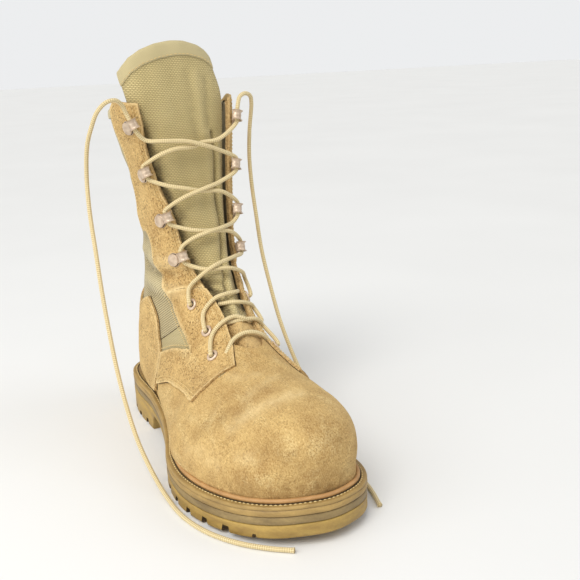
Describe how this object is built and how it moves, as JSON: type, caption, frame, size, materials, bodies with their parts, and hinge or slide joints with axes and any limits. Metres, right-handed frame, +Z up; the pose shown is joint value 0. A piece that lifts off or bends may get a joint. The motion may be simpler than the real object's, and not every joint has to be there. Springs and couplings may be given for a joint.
{
  "type": "combat boot",
  "caption": "Desert-tan suede and nylon combat boot for the right foot, with speed hooks, eyelets, a tall tongue, storm welt and lugged sole.",
  "frame": {"origin": "on the floor, on the flat of the heel under the middle of the foot's heel", "axes": "+Z up, the toe points to -Y, the outer side of the right foot to -X"},
  "size_m": [0.1464, 0.3046, 0.3084],
  "materials": {
    "suede": "napped suede, desert tan",
    "nylon": "woven nylon, khaki",
    "outsole_rubber": "satin",
    "midsole_rubber": "satin",
    "welt_leather": "smooth",
    "lining_fabric": "matte",
    "hook_metal": "satin paint, taupe",
    "eyelet_metal": "satin paint, cream",
    "lace_cord": "round braid"
  },
  "bodies": {
    "root": {"eyelet_lateral_1": "eyelet_metal", "eyelet_lateral_2": "eyelet_metal", "eyelet_lateral_3": "eyelet_metal", "eyelet_medial_1": "eyelet_metal", "eyelet_medial_2": "eyelet_metal", "eyelet_medial_3": "eyelet_metal", "facing_lateral": "suede", "facing_medial": "suede", "heel_counter": "suede", "hook_lateral_1": "hook_metal", "hook_lateral_2": "hook_metal", "hook_lateral_3": "hook_metal", "hook_lateral_4": "hook_metal", "hook_medial_1": "hook_metal", "hook_medial_2": "hook_metal", "hook_medial_3": "hook_metal", "hook_medial_4": "hook_metal", "insole": "lining_fabric", "lace_end_lateral": "lace_cord", "lace_end_medial": "lace_cord", "lacing_lower": "lace_cord", "lacing_upper": "lace_cord", "midsole": "midsole_rubber", "outsole": "outsole_rubber", "quarter_lateral": "suede", "quarter_medial": "suede", "tongue": "nylon", "upper": "suede", "welt": "welt_leather"}
  },
  "joints": []
}
